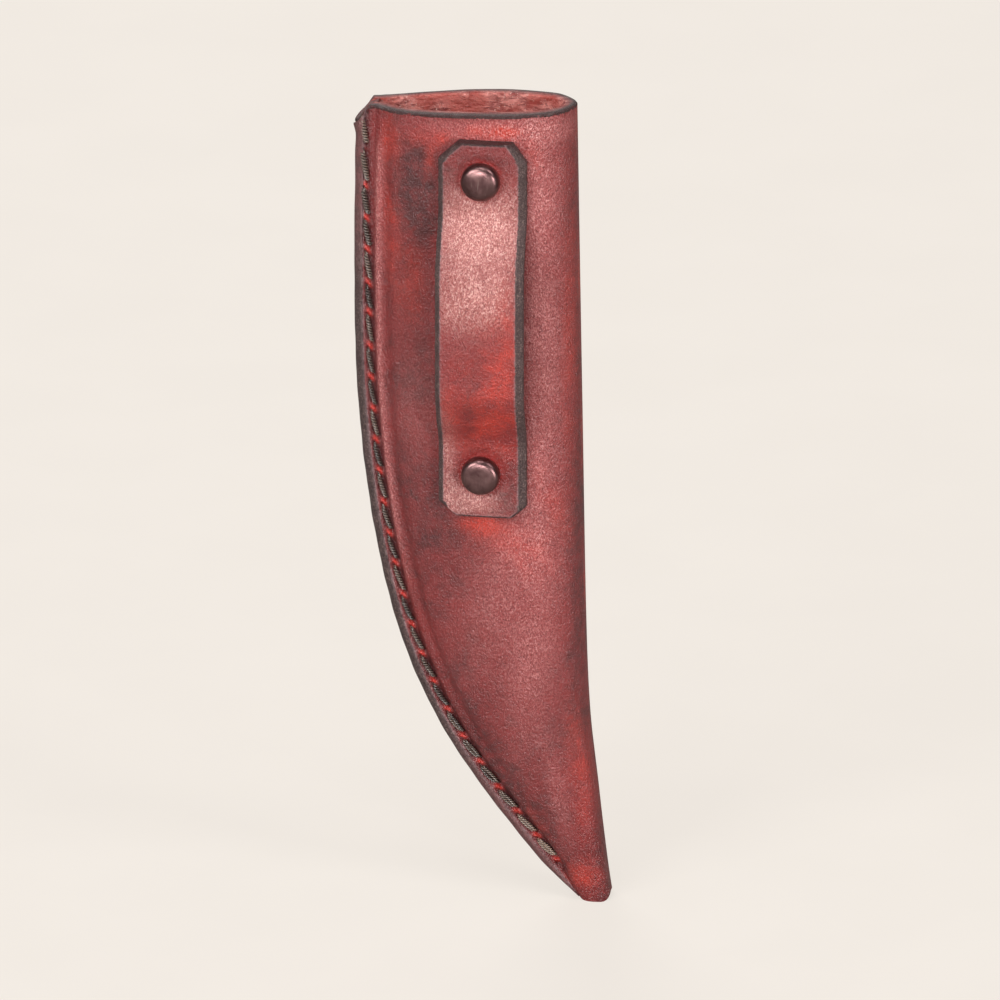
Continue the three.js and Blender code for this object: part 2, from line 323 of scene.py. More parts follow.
def make_piece(name, points, faces, node, material, masks=None):
    """A closed mesh with its normals outward, riding on the sheath in place of its CAD node."""
    mesh = bpy.data.meshes.new(name)
    mesh.from_pydata((np.asarray(points) * MM).tolist(), [], faces)
    for mask, values in (masks or {}).items():
        attribute = mesh.attributes.new(mask, "FLOAT", "POINT")
        attribute.data.foreach_set("value", np.asarray(values, np.float32).ravel())
    edit = bmesh.new()
    edit.from_mesh(mesh)
    bmesh.ops.recalc_face_normals(edit, faces=edit.faces)
    if edit.calc_volume(signed=True) < 0:
        bmesh.ops.reverse_faces(edit, faces=edit.faces)
    edit.to_mesh(mesh)
    edit.free()
    mesh.shade_smooth()
    mesh.set_sharp_from_angle(angle=SHARP_ANGLE)
    mesh.materials.append(material)
    piece = bpy.data.objects.new(name, mesh)
    bpy.context.scene.collection.objects.link(piece)
    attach(piece, "root")
    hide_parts(node)


# --- stitches


def stitch_inset(distance):
    return lerp(*STITCH_INSET, ramp(0, STITCH_SETTLED, distance))


def hole_distances(outline):
    last = outline.seam_length[-1] - LAST_STITCH
    return np.linspace(FIRST_STITCH, last, len(PITCH_WANDER)) + np.array(PITCH_WANDER)


def hole_gap(along, holes):
    """Signed distance along the seam from the nearest stitch hole."""
    gap = along[..., None] - holes
    nearest = np.abs(gap).argmin(axis=-1)
    return np.take_along_axis(gap, nearest[..., None], axis=-1)[..., 0]


def droplet(gap, aside):
    """The leather squeezed up between the ends of two stitches."""
    return bell(gap, 0, 0.95) * bell(aside - 0.35 * gap, 0, 0.52)


def seam_relief(along, inset, crease, holes):
    """Height the seam flange is raised or pressed in, from the stitching and the crease beside it."""
    aside = inset - stitch_inset(along)
    worked = ramp(holes[-1] + 4, holes[-1] + 1, along)
    groove = -0.7 * bell(aside, 0.1, 0.95) * worked
    gap = hole_gap(along, holes)
    pits = bell(gap, STITCH_PULL, 0.45) * bell(aside, -STITCH_SLANT, 0.4)
    pits += bell(gap, -STITCH_PULL, 0.45) * bell(aside, STITCH_SLANT, 0.4)
    lumps = droplet(gap, aside)
    fade = ramp(*CREASE_END, along) * ramp(*CREASE_START, along)
    ridge = 0.45 * bell(inset, crease + 0.6, 0.85) * lerp(0.35, 1.0, fade)
    valley = -0.4 * bell(inset, crease + 2.4, 1.0) * fade
    return groove - 0.8 * pits + 0.95 * lumps + ridge + valley


def stitch_tracks(outline):
    """Start and end of every stitch as distance along the seam and inset, and its sideways bow."""
    holes = hole_distances(outline)
    tracks = []
    for index in range(len(holes) - 1):
        start, end = holes[index] + STITCH_PULL, holes[index + 1] - STITCH_PULL
        inset_start = stitch_inset(start) - STITCH_SLANT
        inset_end = stitch_inset(end) + STITCH_SLANT
        if index < len(holes) - 1 - DOUBLED_STITCHES:
            tracks.append((start, inset_start, end, inset_end, 0.0))
        else:
            tracks.append((start, inset_start, end - 0.3, inset_end - 0.25, -0.3))
            tracks.append((start + 0.3, inset_start + 0.25, end, inset_end, 0.3))
    return tracks


def twisted_thread(path, phase, girth):
    """Two plies wound round a path: ring vertices, faces, and how deep each vertex lies in the twist."""
    tangent = np.gradient(path, axis=0)
    tangent /= np.linalg.norm(tangent, axis=1)[:, None]
    across = np.cross(tangent, np.array([0.0, 1.0, 0.0]) + 1e-6)
    across /= np.linalg.norm(across, axis=1)[:, None]
    up = np.cross(across, tangent)
    points, faces = [], []
    turn = 2 * np.pi * running_length(path) / PLY_PITCH + phase
    around = np.linspace(0, 2 * np.pi, PLY_SIDES, endpoint=False)
    for ply in (0, np.pi):
        side = np.cos(turn + ply)[:, None] * across + np.sin(turn + ply)[:, None] * up * 0.8
        centre = path + PLY_OFFSET * girth[:, None] * side
        radius = PLY_RADIUS * girth[:, None, None]
        rings = (
            centre[:, None, :]
            + radius * np.cos(around)[None, :, None] * across[:, None, :]
            + radius * np.sin(around)[None, :, None] * up[:, None, :]
        )
        first = sum(len(p) for p in points)
        points.append(rings.reshape(-1, 3))
        faces += tube_faces(len(path), PLY_SIDES, first)
    points = np.concatenate(points)
    reach = np.linalg.norm(points - np.repeat(np.tile(path, (2, 1)), PLY_SIDES, axis=0), axis=1)
    full = np.repeat(np.tile(girth, 2), PLY_SIDES) * (PLY_OFFSET + PLY_RADIUS)
    return points, faces, ramp(0.86, 0.5, reach / full)


def stitching(outline, material):
    points, faces, worn, twist_shade, first = [], [], [], [], 0
    share = np.linspace(0, 1, STITCH_STEPS)
    dive = 1 - ramp(0, 0.14, share) * ramp(1, 0.86, share)
    swell = np.sin(np.pi * share)
    for side in (-1, 1):
        for index, (start, inset_start, end, inset_end, bow) in enumerate(stitch_tracks(outline)):
            distance = lerp(start, end, share)
            bend = (bow + 0.08 * math.sin(index * 2.4)) * swell
            x, z = outline.on_seam(distance, lerp(inset_start, inset_end, share) + bend)
            lift = FLANGE_FACE - 0.2 + 0.25 * swell - 1.3 * dive
            path = np.stack([x, outline.seam_y + side * lift, z], axis=1)
            girth = 0.7 if bow else lerp(1.25, 0.95, ramp(*THREAD_SETTLED, start))
            girth = girth * (0.55 + 0.45 * swell**0.6)
            thread_points, thread_faces, depth = twisted_thread(path, index * 1.7, girth)
            points.append(thread_points)
            # How deep each vertex lies in the twist, which the cord darkens as painted shade
            twist_shade.append(depth)
            ends_worn = max(ramp(*THREAD_TIP_WEAR, start), 0.5 * ramp(*THREAD_MOUTH_WEAR, start))
            wear = max(ends_worn, 0.1 + 0.3 * math.sin(index * 1.9) ** 2)
            worn.append(np.full(len(thread_points), wear))
            faces += [[first + v for v in face] for face in thread_faces]
            first += len(thread_points)
    masks = {"worn": np.concatenate(worn), "twist_shade": np.concatenate(twist_shade)}
    points = np.concatenate(points)
    make_piece("waxed_thread_stitches", points, faces, "stitching_thread", material, masks)


# --- body


def rise_at(rise, z):
    return lerp(*rise, np.sin(np.clip(z / RISE_HEIGHT, 0, 1) * np.pi / 2))


def arch_centreline(outline, z):
    """The middle of the leather from one crease round the fold to the other, evenly spaced."""
    crease = outline.left(z) + outline.flange(z)
    fold = outline.right(z) - LEATHER / 2
    back, front = rise_at(BACK_RISE, z), rise_at(FRONT_RISE, z)
    controls = [(crease + s * (fold - crease), -LEG_CENTRE - r * back) for s, r in ARCH_BACK]
    controls.append((fold, -(back - front) / 2))
    controls += [(crease + s * (fold - crease), LEG_CENTRE + r * front) for s, r in ARCH_FRONT]
    controls = np.array(controls, float)
    knots = np.r_[0, np.cumsum(np.sqrt(np.linalg.norm(np.diff(controls, axis=0), axis=1)))]
    fine = np.linspace(0, knots[-1], ARCH_SAMPLES)
    curve = np.stack([smooth_curve(knots, controls[:, k], fine) for k in (0, 1)], axis=1)
    length = running_length(curve)
    even = np.linspace(0, length[-1], ARCH_COLUMNS)
    return np.stack([np.interp(even, length, curve[:, k]) for k in (0, 1)], axis=1)


def outward(polyline):
    tangent = np.gradient(polyline, axis=-2)
    tangent /= np.linalg.norm(tangent, axis=-1, keepdims=True)
    return np.stack([tangent[..., 1], -tangent[..., 0]], axis=-1)


def edge_profile():
    """Rounded seam edge from the welt to the flange face: distance in from the edge, and from the middle."""
    turn = np.linspace(0, EDGE_ROUND_ANGLE, EDGE_COLUMNS - 1)
    inward = EDGE_ROUND[0] * (1 - np.cos(turn)) / (1 - math.cos(EDGE_ROUND_ANGLE))
    outwards = FLANGE_FACE - EDGE_ROUND[1] + EDGE_ROUND[1] * np.sin(turn) / math.sin(EDGE_ROUND_ANGLE)
    return np.r_[0, inward], np.r_[LEG_INNER, outwards]


def section(outline, z):
    """Outer and inner skins of the folded leather at one height, as x and y from the seam plane."""
    left = outline.left(z)
    arch = arch_centreline(outline, z)
    normal = outward(arch)
    outer_arch = arch + normal * LEATHER / 2
    inner_arch = arch - normal * LEATHER / 2
    inward, outwards = edge_profile()
    share = np.linspace(0, 1, FLANGE_COLUMNS + 1)[1:-1, None]
    inner_share = np.linspace(0, 1, LEG_COLUMNS + 1)[:-1, None]
    legs, inner_legs = [], []
    for side, end in ((-1, 0), (1, -1)):
        edge = np.stack([left + inward, side * outwards], axis=1)
        legs.append(np.concatenate([edge, edge[-1] + share * (outer_arch[end] - edge[-1])]))
        start = np.array([left + INNER_SETBACK, side * LEG_INNER])
        inner_legs.append(start + inner_share * (inner_arch[end] - start))
    outer = np.concatenate([legs[0], outer_arch, legs[1][::-1]])
    inner = np.concatenate([inner_legs[0], inner_arch, inner_legs[1][::-1]])
    return outer, inner[::INNER_COLUMN_STEP]


def mouth_height(outline, x, left):
    """Height of the cut mouth over a point: the sloping rim, clipped at the seam corner."""
    across, down = MOUTH_CHAMFER
    clipped = outline.seam_top - down + (x - left) * down / across * 1.03
    return np.minimum(outline.rim(x), clipped)


def tip_height(x, left, right):
    """Height of the tip's lower edge, which turns up at both corners."""
    height = np.zeros_like(x)
    for radius, gap in ((TIP_CORNERS[0], x - left), (TIP_CORNERS[1], right - x)):
        near = np.clip(radius - gap, 0, radius)
        height += radius - np.sqrt(radius**2 - near**2)
    return height


def place_rows(outline, plan, z_rows):
    """Lifts a grid of section points to its heights, following the cut mouth and the rounded tip."""
    x = plan[..., 0]
    z = np.repeat(z_rows[:, None], x.shape[1], axis=1)
    left = x.min(axis=1, keepdims=True)
    right = x.max(axis=1, keepdims=True)
    blend = np.clip((z - (outline.top - RIM_BLEND)) / RIM_BLEND, 0, 1)
    z = z + blend * (mouth_height(outline, x, left) - outline.top)
    z = z + tip_height(x, left, right) * np.clip(1 - z / TIP_BLEND, 0, 1) ** 2
    return np.stack([x, plan[..., 1] + outline.seam_y, z], axis=-1)


def describe_skin(outline, outer):
    """Where each point of the smooth outer skin lies on the sheath, and how far in the crease runs."""
    x, z = outer[..., 0], outer[..., 2]
    along, inset = (part.reshape(x.shape) for part in outline.nearest(x.ravel(), z.ravel()))
    crease = np.minimum(FLANGE, outline.flange(z) * outline.steepness(z))
    on_edge = np.zeros_like(x)
    on_edge[:, :EDGE_COLUMNS] = on_edge[:, -EDGE_COLUMNS:] = 1
    back = np.arange(x.shape[1])[None, :] < x.shape[1] // 2
    return SimpleNamespace(along=along, inset=inset, crease=crease, on_edge=on_edge, back=back)


def body_relief(outline, outer, skin, holes):
    """Height of the outer skin's modelling: seam, uneven faces, dips under the rivets, flared corner."""
    x, z, along, inset = outer[..., 0], outer[..., 2], skin.along, skin.inset
    relief = np.where(skin.on_edge > 0, 0.0, seam_relief(along, inset, skin.crease, holes))
    face = ramp(5, 12, inset) * ramp(0.5, 5, outline.right(z) - x)
    relief += (0.12 * ripple(x, z, 26, 11) + 0.05 * ripple(x, z, 7, 12)) * face
    for reach, _ in cap_reaches(x, z):
        relief -= np.where(skin.back, 0.25 * bell(reach, 0, 8), 0)
    flare = 0.7 * bell(along, 4.8, 2.0)
    return relief + skin.on_edge * (0.06 * ripple(along, inset * 3, 9, 13) + flare)


def body_masks(outline, outer, skin, holes, strap):
    """Where the outer skin is burnished or pulled by stitches, where it is dyed red or dark, and where
    painted shade, a painted sheen and painted glint lines go.
    """
    x, z, along, inset = outer[..., 0], outer[..., 2], skin.along, skin.inset
    lip = mouth_height(outline, x, x.min(axis=1, keepdims=True)) - z
    burnish = np.maximum(skin.on_edge, ramp(EDGE_ROUND[0] + 0.3, EDGE_ROUND[0], inset))
    burnish = np.maximum(burnish, 0.8 * ramp(1.0, 0.5, lip))
    rim = ramp(3.0, 0.5, lip) * ramp(1.0, 4.0, inset)
    aside = inset - stitch_inset(along)
    ridge = bell(inset, skin.crease + 0.55, 0.75) * ramp(*RIDGE_START, along) * ramp(*RIDGE_END, along)
    ember = patches(x, z, EMBER_PATCHES) + strap_halo(x, z, strap)
    far_ember = 0.5 * np.clip(ripple(x, z, 34, 5), 0, 1) ** 2
    # Random dark dye on the far face
    far_dark_dye = 0.7 * np.clip(ripple(x, z, 42, 6), 0, 1)
    # A painted sheen down the middle of the far face
    far_painted_sheen = 0.55 * bell(x, 2 + 0.05 * z, 13)
    scuffed = np.maximum(ramp(*MOUTH_WEAR, along), ramp(*TIP_WEAR, along))
    return {
        "burnish": burnish,
        "pull": 1.3 * droplet(hole_gap(along, holes), aside) * ramp(*BEADS_START, along),
        # Painted shade down the stitching groove
        "groove": bell(aside, 0.2, 1.25) * ramp(*GROOVE_START, along) * ramp(*GROOVE_END, along),
        # A painted glint line along the arris where the rounded edge meets the flange face
        "arris_glint": bell(inset, EDGE_ROUND[0] + 0.15, 0.26),
        "rim": rim,
        "scuffed": 0.75 * scuffed * (1 - rim),
        "ember": np.where(skin.back, ember, far_ember),
        # Dark dye patches, some of them painted shade
        "dark_dye_and_shade": np.where(skin.back, patches(x, z, DARK_DYE_AND_SHADE_PATCHES), far_dark_dye),
        # Painted sheen from the patch table, and a painted highlight along the crease ridge
        "painted_sheen": np.where(skin.back, patches(x, z, PAINTED_SHEEN_PATCHES), far_painted_sheen) + 1.5 * ridge,
        "nap": np.zeros_like(x),
    }


def strap_halo(x, z, strap):
    """A paler ring where the dye lifted round the top end of the strap."""
    low, high = strap
    outside = -np.minimum(*edge_distances(x, z, low, high))
    near_top = ramp(high[2] - 12, high[2] - 1, z)
    broken = 0.6 + 0.4 * ripple(x, z, 9, 41)
    return 0.7 * bell(outside, 2.4, 1.3) * near_top * broken


def outer_skin(outline, plan, z_rows):
    """Points and masks of the dyed side, modelled and turned over at the mouth."""
    outer = place_rows(outline, plan, z_rows)
    holes = hole_distances(outline)
    skin = describe_skin(outline, outer)
    normal = outward(outer[..., :2])
    outer[..., :2] += normal * body_relief(outline, outer, skin, holes)[..., None]
    masks = body_masks(outline, outer, skin, holes, box_mm("belt_loop_strap"))
    rounding, turned = rim_rounding(outer, normal, np.full(outer.shape[1], RIM_ROUND))
    for name, values in masks.items():
        masks[name] = np.concatenate([values[:-1], np.repeat(values[-1:], len(rounding), axis=0)])
    masks["burnish"][-len(turned) :] = np.maximum(masks["burnish"][-len(turned) :], turned[:, None])
    return np.concatenate([outer[:-1], rounding]), masks


def inner_skin(outline, plan, z_rows):
    """Points and masks of the flesh side, on a coarser grid."""
    inner = place_rows(outline, plan, z_rows)
    radius = INNER_RIM_ROUND * inner_lip(inner)
    rounding, turned = rim_rounding(inner, -outward(inner[..., :2]), radius)
    inner = np.concatenate([inner[:-1], rounding])
    worn_top = np.zeros(inner.shape[:2])
    worn_top[-len(turned) :] = 0.3 * turned[:, None] ** 2
    return inner, {"burnish": worn_top, "rim": worn_top, "nap": 1 - worn_top}


def joined_faces(outer, inner, inner_rows):
    """Faces of both skins, and of the cut edges that join the fine grid to the coarse one."""
    first = outer[..., 0].size
    outer_index = np.arange(first).reshape(outer.shape[:2])
    inner_index = first + np.arange(inner[..., 0].size).reshape(inner.shape[:2])
    faces = grid_faces(*outer.shape[:2]) + grid_faces(*inner.shape[:2], first)
    for row in (0, -1):
        faces += strip_faces(outer_index[row].tolist(), inner_index[row].tolist(), INNER_COLUMN_STEP)
    for column in (0, -1):
        fine, coarse = outer_index[:, column].tolist(), inner_index[:, column].tolist()
        faces += strip_faces(fine[:BODY_ROWS], coarse[:inner_rows], INNER_ROW_STEP)
        faces.append(fine[BODY_ROWS - 1 :] + coarse[inner_rows - 1 :][::-1])
    return faces


def folded_body(outline, material):
    z_rows = np.linspace(0, outline.top, BODY_ROWS)
    sections = [section(outline, z) for z in z_rows]
    keep = np.unique(np.r_[np.arange(0, BODY_ROWS, INNER_ROW_STEP), BODY_ROWS - 1])
    outer, masks = outer_skin(outline, np.array([s[0] for s in sections]), z_rows)
    inner, inner_masks = inner_skin(outline, np.array([sections[k][1] for k in keep]), z_rows[keep])
    points = np.concatenate([outer.reshape(-1, 3), inner.reshape(-1, 3)])
    faces = joined_faces(outer, inner, len(keep))
    unmarked = np.zeros(inner.shape[:2])
    for name, values in masks.items():
        masks[name] = np.r_[values.ravel(), inner_masks.get(name, unmarked).ravel()]
    make_piece("folded_body_leather", points, faces, "folded_leather_body", material, masks)


def inner_lip(inner):
    """1 along the mouth's inner edge, and 0 where the legs lie flat on the welt."""
    columns = inner.shape[1]
    seat = LEG_COLUMNS / INNER_COLUMN_STEP
    index = np.arange(columns)
    return ramp(seat, seat + 2, np.minimum(index, columns - 1 - index))


def rim_rounding(skin, normal, radius):
    """Rows that turn the cut rim over from the last row of a skin, by a radius for each column."""
    turn = np.linspace(0, np.pi / 2, RIM_ROUND_ROWS + 1)
    rows = []
    for angle in turn:
        row = skin[-1].copy()
        row[:, :2] -= normal[-1] * radius[:, None] * (1 - math.cos(angle))
        row[:, 2] -= radius * (1 - math.sin(angle))
        rows.append(row)
    return np.array(rows), np.sin(turn)


# --- welt


def seam_welt(outline, material):
    """The filler strip between the two legs, its outer edge worn slightly round."""
    z_rows = np.linspace(0, outline.top, WELT_ROWS)
    profile_y = np.array([-1, -0.6, 0, 0.6, 1, 1, 1, -1, -1])
    profile_x = np.array([0.12, 0.0, -0.06, 0.0, 0.12, 0.5, 1.0, 1.0, 0.5])
    flat = profile_x >= 0.5
    plan = []
    for z in z_rows:
        left, width = outline.left(z), outline.flange(z)
        x = np.where(flat, left + np.where(profile_x > 0.9, width - 0.4, width / 2), left + profile_x)
        plan.append(np.stack([x, profile_y * WELT_HALF], axis=1))
    points = place_rows(outline, np.array(plan), z_rows)
    rows, sides = points.shape[:2]
    burnish = np.repeat(np.where(flat, 0.3, 1.0)[None, :], rows, axis=0)
    points, faces, masks = points.reshape(-1, 3), tube_faces(rows, sides), {"burnish": burnish}
    make_piece("seam_welt_leather", points, faces, "edge_welt", material, masks)


# --- strap


def strap_lift(z, low, high):
    """How far the strap's middle stands off, arched between its two riveted ends."""
    pad_low, pad_high = low[2] + STRAP_PAD, high[2] - STRAP_PAD
    middle = (low[2] + high[2]) / 2
    bow = (high[1] - low[1]) - LEATHER
    up = ramp(pad_low, middle - 13, z)
    down = ramp(pad_high, middle + 13, z)
    return bow * up * down


def edge_distances(x, z, low, high):
    """Distance in from the strap's long sides and clipped corners, and from its two cut ends."""
    sides = {"left": x - low[0], "right": high[0] - x}
    ends = {"bottom": z - low[2], "top": high[2] - z}
    distance = np.minimum(*sides.values())
    for corner, (across, down) in STRAP_CORNERS.items():
        end, side = corner.split("_")
        clipped = sides[side] * down + ends[end] * across - across * down
        distance = np.minimum(distance, clipped / math.hypot(across, down))
    return distance, np.minimum(*ends.values())


def strap_sides(z, low, high):
    """x of the strap's left and right sides at many heights, following the clipped corners."""
    ends = {"bottom": z - low[2], "top": high[2] - z}
    inward = {"left": np.zeros_like(z), "right": np.zeros_like(z)}
    for corner, (across, down) in STRAP_CORNERS.items():
        end, side = corner.split("_")
        inward[side] = np.maximum(inward[side], across * (1 - ends[end] / down))
    return low[0] + inward["left"], high[0] - inward["right"]


def body_face(outline, x, z):
    """y of the body's belt side under the rows of the strap, read from a coarse grid."""
    rows = np.linspace(z.min(), z.max(), 40)
    xs = np.linspace(x.min(), x.max(), 60)
    table = []
    for height in rows:
        outer, _ = section(outline, height)
        near = outer[: len(outer) // 2]
        table.append(np.interp(xs, near[:, 0], near[:, 1]))
    table = np.array(table) + outline.seam_y
    across = np.array([np.interp(z[:, 0], rows, column) for column in table.T])
    return np.array([np.interp(row, xs, heights) for row, heights in zip(x, across.T)])


def strap_grid(low, high):
    """x and z over the strap's face, with rows and columns close together along its worn edges."""
    end_rows = np.array([0, 0.12, 0.25, 0.4, 0.6])
    between = np.linspace(low[2] + 0.85, high[2] - 0.85, STRAP_ROWS)
    z_rows = np.r_[low[2] + end_rows, between, high[2] - end_rows[::-1]]
    left, right = strap_sides(z_rows, low, high)
    edge_steps = np.array([0, 0.2, 0.45, 0.75, 1.0, 1.25, 1.5, 1.75, 2.1])
    middle = np.linspace(0, 1, STRAP_COLUMNS - 2 * len(edge_steps) + 2)[1:-1]
    left_edge, right_edge = left[:, None] + edge_steps, right[:, None] - edge_steps[::-1]
    across = lerp(left_edge[:, -1:], right_edge[:, :1], middle)
    x = np.concatenate([left_edge, across, right_edge], axis=1)
    return x, np.repeat(z_rows[:, None], x.shape[1], axis=1)


def strap_thickness(x, z, distance, end, bevel):
    """The leather's thickness: worn away along the edges, uneven, and pressed in round the caps."""
    shoulder = STRAP_BEVEL_DROP * np.clip(1 - distance / bevel, 0, 1) ** 1.15
    shoulder = np.maximum(shoulder, END_BEVEL_DROP * np.clip(1 - end / END_BEVEL, 0, 1))
    shoulder += 0.06 * ripple(x, z, 3, 21) * ramp(2.2, 0.6, distance)
    thickness = STRAP_THICKNESS - shoulder + 0.05 * ripple(x, z, 15, 22)
    for reach, radius in cap_reaches(x, z):
        thickness -= 0.42 * ramp(radius + 2.4, radius - 0.4, reach)
        thickness += 0.14 * bell(reach, radius + 2.6, 1.5)
    return thickness


def cut_walls(upper, lower, centre_x):
    """Levels of the cut edge between the rims of the strap's two skins, bulging a little."""
    for share in np.arange(1, STRAP_WALL_LEVELS) / STRAP_WALL_LEVELS:
        wall = lerp(upper, lower, share)
        bulge = 0.08 * np.sin(np.pi * share) * (1 + ripple(wall[:, 2], share * 6, 2.5, 23))
        wall[:, 0] += np.sign(wall[:, 0] - centre_x) * bulge
        yield wall


def belt_strap(outline, material):
    low, high = box_mm("belt_loop_strap")
    x, z = strap_grid(low, high)
    lift = strap_lift(z, low, high)
    rest = body_face(outline, x, z) - 0.03
    inner_y = lerp(np.maximum(rest, high[1] + 0.05), high[1], ramp(0, 2.5, lift)) - lift
    distance, end = edge_distances(x, z, low, high)
    bevel = bevel_width(x, z, low, high)
    outer_y = inner_y - strap_thickness(x, z, distance, end, bevel)
    masks = strap_masks(x, z, distance, end, bevel, low, high)

    rows, columns = x.shape
    first = rows * columns
    index = np.arange(first).reshape(rows, columns)
    ring = np.array([*index[0, :], *index[1:, -1], *index[-1, -2::-1], *index[-2:0:-1, 0]])
    skins = [np.stack([x, y, z], axis=-1).reshape(-1, 3) for y in (outer_y, inner_y)]
    walls = cut_walls(skins[0][ring], skins[1][ring], (low[0] + high[0]) / 2)
    points = np.concatenate([*skins, *walls])
    around = np.arange(len(ring))
    between = [2 * first + k * len(ring) + around for k in range(STRAP_WALL_LEVELS - 1)]
    rings = [ring, *between, ring + first]
    after = (around + 1) % len(ring)
    faces = grid_faces(rows, columns) + grid_faces(rows, columns, first)
    for upper, lower in zip(rings, rings[1:]):
        faces += np.stack([upper, lower, lower[after], upper[after]], axis=-1).tolist()
    for name, values in masks.items():
        inner = np.full(first, 1.0 if name == "nap" else 0.0)
        on_edge = {"burnish": 1.0, "cut": masks["cut"].ravel()[ring]}.get(name, 0.0)
        inner[ring] = on_edge
        wall = np.tile(np.broadcast_to(on_edge, len(ring)), STRAP_WALL_LEVELS - 1)
        masks[name] = np.r_[values.ravel(), inner, wall]
    make_piece("belt_strap_leather", points, faces, "belt_loop_strap", material, masks)


def bevel_width(x, z, low, high):
    """Width of the strap's worn edge, wider towards the fold and narrower at the clipped corners."""
    width = lerp(*STRAP_BEVEL_WIDTH, (x - low[0]) / (high[0] - low[0]))
    foot = lerp(0.38, 1.0, ramp(low[2] + 1.6, low[2] + 3.4, z))
    head = lerp(0.68, 1.0, ramp(high[2] - 2.6, high[2] - 5.0, z))
    return width * foot * head


def strap_masks(x, z, distance, end, bevel, low, high):
    side = ramp(bevel + 0.2, bevel - 0.1, distance)
    burnish = np.maximum(side, ramp(END_BEVEL + 0.15, END_BEVEL - 0.1, end))
    end_line = (1 - side) * bell(end, END_BEVEL + 0.12, 0.15)
    centre = (low[0] + high[0]) / 2
    u = (x - centre) / (high[0] - low[0]) * STRAP_LAYOUT_WIDTH
    return {
        "burnish": burnish,
        "cut": ramp(1.2, 0.5, end),
        # Painted glint lines along the arris of the bevels and just below the cut ends
        "arris_glint": 0.8 * np.maximum(bell(distance, bevel + 0.12, 0.17), end_line),
        "ring": np.maximum(*(bell(reach, radius + 0.2, 0.75) for reach, radius in cap_reaches(x, z))),
        "ember": patches(u, z, STRAP_EMBER),
        # Darker patches on the strap
        "dark_dye_and_shade": patches(u, z, STRAP_DARK_PATCHES),
        # Painted highlight on the upper half of the strap's bow and below the lower rivet
        "painted_sheen": patches(u, z, STRAP_PAINTED_SHEEN),
        "nap": np.zeros_like(x),
    }


# --- rivets


def lathe(profile, centre_x, centre_z, sides):
    """A closed turned part. The profile runs from axis to axis as radius and y."""
    profile = np.asarray(profile, float)
    around = np.linspace(0, 2 * np.pi, sides, endpoint=False)
    rings = profile[1:-1]
    points = [[centre_x, profile[0][1], centre_z], [centre_x, profile[-1][1], centre_z]]
    for radius, y in rings:
        for angle in around:
            points.append([centre_x + radius * math.cos(angle), y, centre_z + radius * math.sin(angle)])
    faces = ring_faces(len(rings), sides, 2)
    last = 2 + (len(rings) - 1) * sides
    for k in range(sides):
        after = (k + 1) % sides
        faces.append([0, 2 + after, 2 + k])
        faces.append([1, last + k, last + after])
    return np.array(points), faces


def dome(radius, base, top, shoulder, rings=24):
    """From the rim to the axis over a pressed dome: the lower the shoulder value, the flatter its crown."""
    turn = np.linspace(0, np.pi / 2, rings)
    return [(radius * math.cos(a) ** shoulder, base + (top - base) * math.sin(a) ** 0.8) for a in turn]


def cap_profile(radius, crown_y, base_y, shoulder):
    """Shell of a cap: over the dome, round the rolled skirt, and back under."""
    sign = 1 if base_y > crown_y else -1
    skirt_y = base_y + sign * CAP_SKIRT
    profile = dome(radius, base_y - sign * 0.1, crown_y, shoulder)[::-1]
    profile += [(radius + 0.02, base_y + sign * 0.1), (radius - 0.05, skirt_y - sign * 0.12)]
    inside = radius - CAP_WALL
    profile += [(radius - 0.2, skirt_y), (inside, skirt_y - sign * 0.1), (inside, base_y)]
    profile += dome(inside, base_y, crown_y + sign * CAP_WALL, shoulder, 8)[1:]
    profile[0] = (0, profile[0][1])
    profile[-1] = (0, profile[-1][1])
    return profile


def socket_profile(plate, low, high):
    """A plate with a bored tube standing on it."""
    tube, bore = SOCKET_TUBE, SOCKET_BORE
    profile = [(0, low), (plate - 0.15, low), (plate, low + 0.15), (plate - 0.1, low + 0.4)]
    profile += [(tube, low + 0.5), (tube, high - 0.15), (tube - 0.15, high)]
    return profile + [(bore + 0.1, high), (bore, high - 0.15), (bore, low + 0.45), (0, low + 0.4)]


def stem_profile(plate, low, high):
    """A plate with a solid post, its end chamfered."""
    profile = [(0, high), (plate - 0.15, high), (plate, high - 0.2), (plate - 0.1, high - 0.4)]
    return profile + [(STEM_POST, high - 0.5), (STEM_POST, low + 0.3), (STEM_POST - 0.25, low), (0, low)]


def rivet(prefix, material):
    """The four pieces of a double-cap rivet, each turned about the axis of its CAD node."""
    for part in ("front_cap", "back_cap", "socket", "stem"):
        node = f"{prefix}_rivet_{part}"
        x, z, radius = round_node(node)
        low, high = (corner[1] for corner in box_mm(node))
        if part == "front_cap":
            profile = cap_profile(radius, low, high, CAP_SHOULDER[prefix])
        elif part == "back_cap":
            profile = cap_profile(radius, high, low, CAP_SHOULDER[prefix])
        else:
            profile = (socket_profile if part == "socket" else stem_profile)(radius, low, high)
        points, faces = lathe(profile, x, z, CAP_SIDES if part.endswith("cap") else SHANK_SIDES)
        if part == "front_cap":
            points[:, 1] += CAP_UNEVENNESS * ripple(points[:, 0], points[:, 2], 4.5, 31 + len(prefix))
        make_piece(f"{prefix}_{part}_metal", points, faces, node, material)


# --- materials


def srgb(*levels):
    """A linear colour from its red, green and blue levels out of 255."""
    shares = [level / 255 for level in levels]
    return (*(c / 12.92 if c <= 0.04045 else ((c + 0.055) / 1.055) ** 2.4 for c in shares), 1.0)


